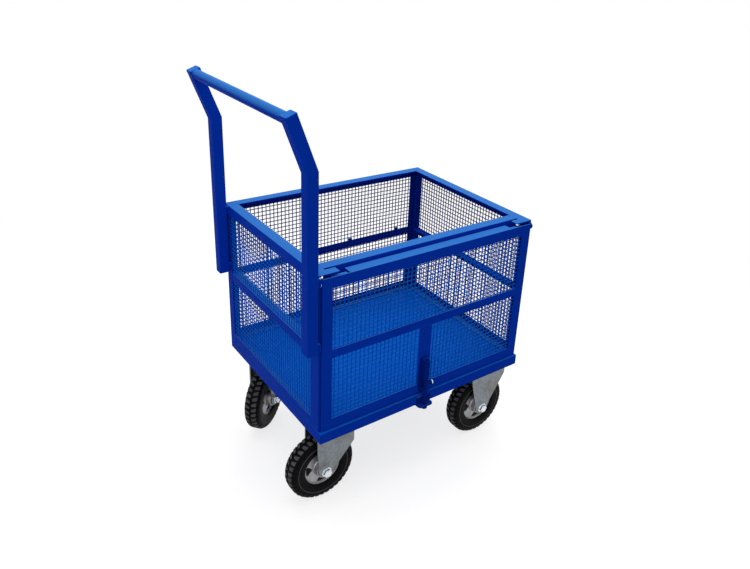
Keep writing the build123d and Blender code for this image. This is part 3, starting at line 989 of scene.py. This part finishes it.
@dataclass
class Caster:
    """One caster: its plated steelwork, its axle bolt and its wheel."""

    frame: Frame
    side: str
    kind: CasterKind
    edge: float = 0.6
    fork_half: float = 36.0
    boss: float = 20.5
    seat: float = 3.0
    seat_radius: float = 16.0
    flats: float = 22.0
    head: float = 9.0
    head_edge: float = 0.5
    washer: float = 2.0
    washer_radius: float = 15.0
    bolt_radius: float = 7.5
    thread_radius: float = 7.2
    stub: float = 3.0
    race: float = 35.0
    race_height: float = 9.5
    race_rolls: tuple[tuple[float, float], ...] = ((0.0, 0.42), (0.5, 0.95))
    plate: float = 5.0

    @property
    def name(self) -> str:
        """The start of this caster's node names."""
        return f"{self.kind.value}_{self.side}"

    @property
    def carrier(self) -> str:
        """The body that carries the axle."""
        return f"{self.name}_fork" if self.kind is CasterKind.SWIVEL else "frame"

    @cached_property
    def place(self) -> Matrix:
        """Local axes at the middle of the axle, with Y along it.

        Returns:
            The place, in metres.
        """
        spin = joint_of(self.frame, f"{self.name}_wheel_spin")
        along, up = Vector(spin["axis"]).normalized(), Vector((0, 0, 1))
        turn = Matrix((along.cross(up), along, up)).transposed().to_4x4()
        return Matrix.Translation(Vector(spin["pos_m"])) @ turn

    def build(self) -> None:
        """Makes the plate, the fork, the axle bolt and the wheel."""
        if self.kind is CasterKind.SWIVEL:
            self.plated("head", "frame", self.race_rings())
            self.plated("fork", self.carrier, self.seat_flanks())
        else:
            self.plated("bracket", self.carrier, self.seat_flanks())
        self.axle()
        Wheel(self.name, self.place, f"{self.name}_wheel").build()

    def plated(self, part: str, body: str, pressings: BMesh) -> None:
        """Makes one plated part with soft edges, and the pressed forms on it.

        Args:
            part: The last word of its CAD node's name.
            body: The body that carries it.
            pressings: Rings that stand on the part. The mesh is freed.
        """
        node = f"{self.name}_{part}"
        bm = steel_copy(self.frame, node)
        round_edges(bm, self.edge)
        add_mesh(bm, pressings)
        make_piece(f"{node}.plated", bm, FORK_ZINC, body, [node])

    def seat_flanks(self) -> BMesh:
        """Makes the slope round the raised axle seat on each leg of the fork.

        Returns:
            The two rings, in metres.
        """
        inside, back, face = self.seat_radius - 0.6, self.fork_half - 0.5, self.fork_half + self.seat - 0.1
        slope = [
            (back, inside),
            (back, self.boss),
            (self.fork_half + 0.1, self.boss),
            (face, self.seat_radius - 0.1),
            (face, inside),
        ]
        bm = bmesh.new()
        lathe(bm, slope, Roundness.TUBE, self.place, SIDES)
        return bm

    def race_rings(self) -> BMesh:
        """Makes the rolled rings round the ball race under the top plate.

        Returns:
            The rings, in metres.
        """
        bm = bmesh.new()
        axis = Vector(joint_of(self.frame, f"{self.name}_turn")["pos_m"])
        axis.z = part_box(f"{self.name}_head")[1].z - self.plate * MM
        inside, outside = self.race - 0.5, self.race + 1.6
        for start, end in self.race_rolls:
            top, foot = -start * self.race_height, -end * self.race_height
            roll = [(top, inside), (top, outside - 0.8), (top - 1, outside)]
            roll += [(foot + 1, outside), (foot, outside - 0.8), (foot, inside)]
            lathe(bm, roll, Roundness.HUB, upright(axis))
        return bm

    def axle(self) -> None:
        """Makes the bolt, with a washer under its head and under its nut, and a stub past the nut."""
        start = self.fork_half + self.seat
        nut, end = start + self.washer, start + self.head
        tip = -end - self.stub
        washer = [(start, self.bolt_radius), (start, self.washer_radius)]
        washer += [(nut, self.washer_radius), (nut, self.bolt_radius)]
        bm = bmesh.new()
        lathe(bm, washer, Roundness.BOLT, self.place, SIDES)
        for side in SIDES:
            self.hexagon(bm, side * nut, side * (end + 1))
        round_edges(bm, self.head_edge)
        thread = [(tip, 0.01), (tip, self.thread_radius - 1), (tip + 1, self.thread_radius)]
        thread += [(end, self.thread_radius), (end, 0.01)]
        lathe(bm, thread, Roundness.STUB, self.place)
        make_piece(f"{self.name}_axle.bolt", bm, BRIGHT_ZINC, self.carrier, [f"{self.name}_axle"])

    def hexagon(self, bm: BMesh, low: float, high: float) -> None:
        """Adds a hexagon along the axle.

        Args:
            bm: The mesh that gets it.
            low: Where it starts along the axle, in millimetres.
            high: Where it ends.
        """
        radius = self.flats / math.sqrt(3)
        rings = []
        for along in (low, high):
            points = [Vector((radius * math.cos(turn), along, radius * math.sin(turn))) for turn in turns(6)]
            rings.append([bm.verts.new(self.place @ (point * MM)) for point in points])
        skin(bm, rings, capped=True)


@dataclass
class SlideBolt:
    """The gate's sliding bolt: a painted rod whose knob is worn bright at its end."""

    frame: Frame
    edge: float = 0.5
    knob_rise: float = 64.0
    knob: float = 6.0
    worn: float = 4.5

    def build(self) -> None:
        """Makes the rod with its knob arm, and the bright end of the knob."""
        rod = steel_copy(self.frame, "gate_bolt")
        round_edges(rod, self.edge)
        make_piece("gate_bolt.rod", rod, SHADED_LATCH_ENAMEL, "gate_bolt", ["gate_bolt"])
        low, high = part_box("gate_bolt")
        middle = Vector((high.x, (low.y + high.y) / 2, low.z + self.knob_rise * MM))
        place = Matrix.Translation(middle) @ Matrix.Rotation(math.radians(-90), 4, "Z")
        cap = [
            (-self.worn, self.knob - 1),
            (-self.worn, self.knob + 0.15),
            (-1.4, self.knob + 0.15),
            (-0.3, self.knob - 1),
            (0.5, self.knob - 3),
            (0.7, 0.02),
        ]
        bm = bmesh.new()
        lathe(bm, cap, Roundness.BOLT, place)
        make_piece("gate_bolt.worn_knob", bm, BRIGHT_ZINC, "gate_bolt")


@dataclass
class KeeperSocket:
    """The short tube under the keeper's hole, which takes the end of the bolt."""

    bore: float = 6.2
    outside: float = 9.0
    depth: float = 11.0

    def build(self) -> None:
        """Turns the tube under the bolt."""
        plate_low, plate_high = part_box("bolt_keeper")
        bolt_low, bolt_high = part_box("gate_bolt")
        middle = (plate_low + plate_high) / 2
        middle.y = (bolt_low.y + bolt_high.y) / 2
        middle.z = plate_low.z
        foot = -self.depth
        tube = [(0.5, self.bore), (0.5, self.outside), (foot + 1, self.outside)]
        tube += [(foot, self.outside - 1), (foot, self.bore)]
        bm = bmesh.new()
        lathe(bm, tube, Roundness.BOLT, upright(middle))
        make_piece("bolt_keeper.socket", bm, SHADED_LATCH_ENAMEL, "frame")


@dataclass(frozen=True)
class Bead:
    """The rippled bead that a weld leaves along a straight seam, thinner at its two ends."""

    radius: float = 2.2
    ripple: float = 4.0
    ripple_rings: int = 4
    swell: float = 0.13
    bluntness: int = 6
    thinnest: float = 0.08
    sides: int = 8

    def lay(self, bm: BMesh, start: Vector, end: Vector) -> None:
        """Adds a bead.

        Args:
            bm: The mesh that gets it.
            start: One end of the seam, in metres.
            end: The other end, in metres.
        """
        axis = end - start
        turn = axis.to_track_quat("Z", "Y").to_matrix()
        ripples = axis.length / (self.ripple * MM)
        count = max(self.ripple_rings, round(ripples * self.ripple_rings))
        rings = []
        for step in range(count + 1):
            share = step / count
            taper = math.sqrt(max(self.thinnest, 1 - abs(2 * share - 1) ** self.bluntness))
            size = self.radius * MM * taper * (1 + self.swell * math.sin(2 * math.pi * share * ripples))
            offsets = [turn @ Vector((math.cos(angle), math.sin(angle), 0)) for angle in turns(self.sides)]
            rings.append([bm.verts.new(start + axis * share + offset * size) for offset in offsets])
        skin(bm, rings, capped=True)


@dataclass
class WeldBeads:
    """The beads that hold the steelwork together, painted over with it."""

    frame: Frame
    bead: Bead = Bead()
    fine_bead: Bead = Bead(radius=1.3, ripple=12.0)
    fixed: BMesh = field(default_factory=bmesh.new)
    moving: BMesh = field(default_factory=bmesh.new)
    wall: float = 3.0
    end_gap: float = 3.0
    pad_gap: float = 1.0
    plate_gap: float = 14.0
    tack: float = 22.0
    tack_shares: tuple[float, ...] = (0.12, 0.5, 0.88)
    deck_inset: float = 0.6
    deck_drop: float = 0.5
    plates: tuple[str, ...] = (
        "swivel_front_head",
        "swivel_rear_head",
        "rigid_front_bracket",
        "rigid_rear_bracket",
    )

    def build(self) -> None:
        """Lays the beads of the platform, the cage and the handle, then those of the gate."""
        self.fixed_seams()
        self.post_feet()
        self.foot_rails()
        self.deck_seam()
        make_piece("frame_welds.beads", self.fixed, ENAMEL, "frame")
        self.gate_seams()
        make_piece("gate_welds.beads", self.moving, ENAMEL, "gate")

    def along(self, bm: BMesh, box: Box, axis: int, passing: Sequence[Sequence[int]], gap: float) -> None:
        """Lays beads along parallel edges of a box.

        Args:
            bm: The mesh that gets them.
            box: The lowest and the highest corner, in metres.
            axis: The axis that the edges follow.
            passing: Which of the two corners give the edges their X, their Y and their Z.
            gap: Bare length at each end of an edge, in millimetres.
        """
        for picks in product(*passing):
            start = Vector([box[pick][place] for place, pick in enumerate(picks)])
            end = start.copy()
            start[axis], end[axis] = box[0][axis] + gap * MM, box[1][axis] - gap * MM
            self.bead.lay(bm, start, end)

    def fixed_seams(self) -> None:
        """Lays the beads of the keeper, the handle's pads and the casters' plates."""
        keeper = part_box("bolt_keeper")
        self.along(self.fixed, keeper, X, (LOW, HIGH, HIGH), self.end_gap)
        self.along(self.fixed, keeper, Z, (BOTH, HIGH, LOW), self.end_gap)
        for pad in solid_boxes(self.frame, "handle_pads"):
            self.along(self.fixed, pad, Z, (BOTH, BOTH, LOW), self.pad_gap)
        for node in self.plates:
            self.along(self.fixed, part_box(node), X, (LOW, BOTH, HIGH), self.plate_gap)

    def gate_seams(self) -> None:
        """Tacks the bolt's guide to the gate, twice on each side, and welds each sleeve below and above."""
        low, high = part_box("bolt_guide")
        rise = Vector((0, 0, high.z - low.z - self.tack * MM))
        for tacked in ((low, high - rise), (low + rise, high)):
            self.along(self.moving, tacked, Z, (BOTH, HIGH, LOW), self.end_gap)
        for sleeve in solid_boxes(self.frame, "gate_hinge_sleeves"):
            self.along(self.moving, sleeve, X, (LOW, LOW, BOTH), self.end_gap)

    def post_feet(self) -> None:
        """Runs a bead along the inner face of each leg of the posts, on the deck."""
        middle = sum(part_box("deck_sheet"), Vector()) / 2
        for end, side in product(("handle_end", "far_end"), ("front", "rear")):
            low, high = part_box(f"post_{side}_{end}")
            corner, toe = low.copy(), low.copy()
            for axis in (X, Y):
                outside, inside = (low, high) if low[axis] < middle[axis] else (high, low)
                inward = math.copysign(self.wall * MM, middle[axis] - low[axis])
                corner[axis], toe[axis] = outside[axis] + inward, inside[axis]
            for axis in (X, Y):
                start, stop = corner.copy(), corner.copy()
                start[axis], stop[axis] = sorted((corner[axis], toe[axis]))
                self.along(self.fixed, (start, stop), axis, (LOW, LOW, LOW), self.end_gap)

    def foot_rails(self) -> None:
        """Tacks the toe of each foot rail to the deck in three places."""
        middle = sum(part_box("deck_sheet"), Vector()) / 2
        for low, high in solid_boxes(self.frame, "panel_foot_rails"):
            size = high - low
            axis, across = (X, Y) if size.x > size.y else (Y, X)
            for share in self.tack_shares:
                start = low.copy()
                start[axis] += size[axis] * share - self.tack * MM / 2
                start[across] = high[across] if high[across] < middle[across] else low[across]
                stop = start.copy()
                stop[axis] += self.tack * MM
                self.bead.lay(self.fixed, start, stop)

    def deck_seam(self) -> None:
        """Runs a fine seam round the edge of the deck, where it is welded to the platform's rails."""
        # Its top takes the enamel's painted sky sheen and shows as a pale line along the deck's edge
        inset = Vector((self.deck_inset, self.deck_inset, self.deck_drop)) * MM
        low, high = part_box("deck_sheet")
        low, high = low + inset, high - inset
        places = ((low.x, low.y), (high.x, low.y), (high.x, high.y), (low.x, high.y))
        corners = [Vector((x, y, high.z)) for x, y in places]
        for start, end in zip(corners, corners[1:] + corners[:1]):
            self.fine_bead.lay(self.fixed, start, end)


@dataclass(frozen=True)
class Lamp:
    """A square soft lamp aimed at the middle of the cart. Lengths are in metres, its power is in watts."""

    name: str
    at: tuple[float, float, float]
    size: float
    power: float
    aim_height: float = 0.5

    def hang(self) -> None:
        """Adds the lamp to the scene."""
        data = bpy.data.lights.new(f"{self.name}_lamp", "AREA")
        data.shape = "SQUARE"
        data.size = self.size
        data.energy = self.power
        lamp = bpy.data.objects.new(f"{self.name}_lamp", data)
        lamp.location = self.at
        aim = Vector((0, 0, self.aim_height)) - Vector(self.at)
        lamp.rotation_euler = aim.to_track_quat("-Z", "Y").to_euler()
        bpy.context.scene.collection.objects.link(lamp)


@dataclass
class Studio:
    """A pale floor, soft light and a camera that stands where the photographer stood.

    The floor's lengths and the camera's place are in metres, the camera's angles in degrees, and its lens and
    its picture in pixels.
    """

    floor_size: float = 120.0
    floor_drop: float = 0.0005
    floor_colour: str = "#B0B0B0"
    floor_glow: float = 0.74
    shaded_reach: float = 0.9
    white_reach: float = 2.6
    surround: float = 0.4
    lamps: tuple[Lamp, ...] = (
        Lamp("overhead", at=(0.2, 0.2, 3.3), size=3.0, power=60.0),
        Lamp("behind", at=(2.3, 3.0, 2.3), size=3.0, power=28.0),
        Lamp("left", at=(-3.2, -1.7, 1.7), size=2.0, power=18.0),
    )
    camera_at: tuple[float, float, float] = (-1.0489, -1.526, 1.4814)
    yaw: float = 37.25
    pitch: float = -23.21
    roll: float = 3.1
    focal: float = 707.4
    centre: tuple[float, float] = (400.0, 230.0)
    image: tuple[float, float] = (750.0, 569.0)
    sensor: float = 36.0

    def build(self) -> None:
        """Makes the floor, the light and the camera."""
        self.floor()
        self.light()
        self.camera()
        bpy.context.scene.view_settings.view_transform = "Standard"

    def floor(self) -> None:
        """Makes a plain pale floor that keeps the cart's shadow."""
        bm = bmesh.new()
        bmesh.ops.create_grid(bm, x_segments=1, y_segments=1, size=self.floor_size / 2)
        mesh = bpy.data.meshes.new("studio_floor")
        bm.to_mesh(mesh)
        bm.free()
        mesh.materials.append(self.paper())
        floor = bpy.data.objects.new("studio_floor", mesh)
        floor.location.z = -self.floor_drop
        bpy.context.scene.collection.objects.link(floor)

    def paper(self) -> Material:
        """Builds the floor's material: matt pale paper round the cart, which fades to plain white around it.

        Returns:
            The material.
        """
        material = bpy.data.materials.new("pale_studio_floor")
        tree = cleared_tree(material)
        add = partial(add_node, tree)
        matt = {"Base Color": self.floor_colour, "Roughness": 0.9, "Specular IOR Level": 0.0}
        paper = add("BsdfPrincipled", matt)
        seen = self.seen(tree)
        glow = add("MapRange", {"Value": seen, "To Max": self.floor_glow})
        lift = add("Emission", {"Strength": glow})
        near = add("AddShader", {0: paper, 1: lift})
        place = add("TexCoord").outputs["Object"]
        reach = add("VectorMath", {0: place}, operation="LENGTH")
        limits = {"From Min": self.shaded_reach, "From Max": self.white_reach}
        away = add("MapRange", {"Value": reach, **limits}, interpolation_type="SMOOTHERSTEP")
        share = add("Math", {0: away, 1: seen}, operation="MULTIPLY")
        white = add("Emission", {"Strength": 1.0})
        blend = add("MixShader", {0: share, 1: near, 2: white})
        add("OutputMaterial", {"Surface": blend})
        return material

    def light(self) -> None:
        """Lights the cart from a pale surround and three large soft lamps."""
        world = bpy.data.worlds.new("pale_surround")
        bpy.context.scene.world = world
        tree = cleared_tree(world)
        add = partial(add_node, tree)
        strength = add("MapRange", {"Value": self.seen(tree), "To Min": self.surround, "To Max": 1.0})
        surround = add("Background", {"Color": "#FFFFFF", "Strength": strength})
        add("OutputWorld", {"Surface": surround})
        for lamp in self.lamps:
            lamp.hang()

    def seen(self, tree: NodeTree) -> Node:
        """Adds nodes that give one to rays from the camera, a mirror or glass, and none to scattered light.

        Args:
            tree: The node tree of the floor or the world.

        Returns:
            The node with that number.
        """
        path = add_node(tree, "LightPath").outputs
        bounced = {0: path["Is Glossy Ray"], 1: path["Is Transmission Ray"]}
        mirror = add_node(tree, "Math", bounced, operation="MAXIMUM")
        return add_node(tree, "Math", {0: path["Is Camera Ray"], 1: mirror}, operation="MAXIMUM")

    def camera(self) -> None:
        """Places the camera from its heading, its tilt and the length of its lens in pixels."""
        data = bpy.data.cameras.new("photographer")
        wide, high = self.image
        data.sensor_width = self.sensor
        data.lens = self.focal * self.sensor / wide
        data.shift_x = (wide / 2 - self.centre[0]) / wide
        data.shift_y = (self.centre[1] - high / 2) / wide
        yaw, pitch, roll = (math.radians(angle) for angle in (self.yaw, self.pitch, self.roll))
        heading = Vector((math.sin(yaw), math.cos(yaw), 0))
        forward = heading * math.cos(pitch) + Vector((0, 0, math.sin(pitch)))
        level_right = Vector((math.cos(yaw), -math.sin(yaw), 0))
        level_up = level_right.cross(forward)
        right = level_right * math.cos(roll) + level_up * math.sin(roll)
        up = level_up * math.cos(roll) - level_right * math.sin(roll)
        camera = bpy.data.objects.new("photographer", data)
        turn = Matrix((right, up, -forward)).transposed().to_4x4()
        camera.matrix_world = Matrix.Translation(Vector(self.camera_at)) @ turn
        bpy.context.scene.collection.objects.link(camera)
        bpy.context.scene.camera = camera


def main() -> None:
    """Builds every sub-assembly in order, then the studio round it."""
    logging.basicConfig(level=logging.INFO, format="%(name)s %(message)s")
    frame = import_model()
    Steelwork(frame).build()
    WireMesh(frame).build()
    PushHandle().build()
    for kind, side in product(CasterKind, ("front", "rear")):
        Caster(frame, side, kind).build()
    SlideBolt(frame).build()
    KeeperSocket().build()
    WeldBeads(frame).build()
    Studio().build()


if __name__ == "__main__":
    main()
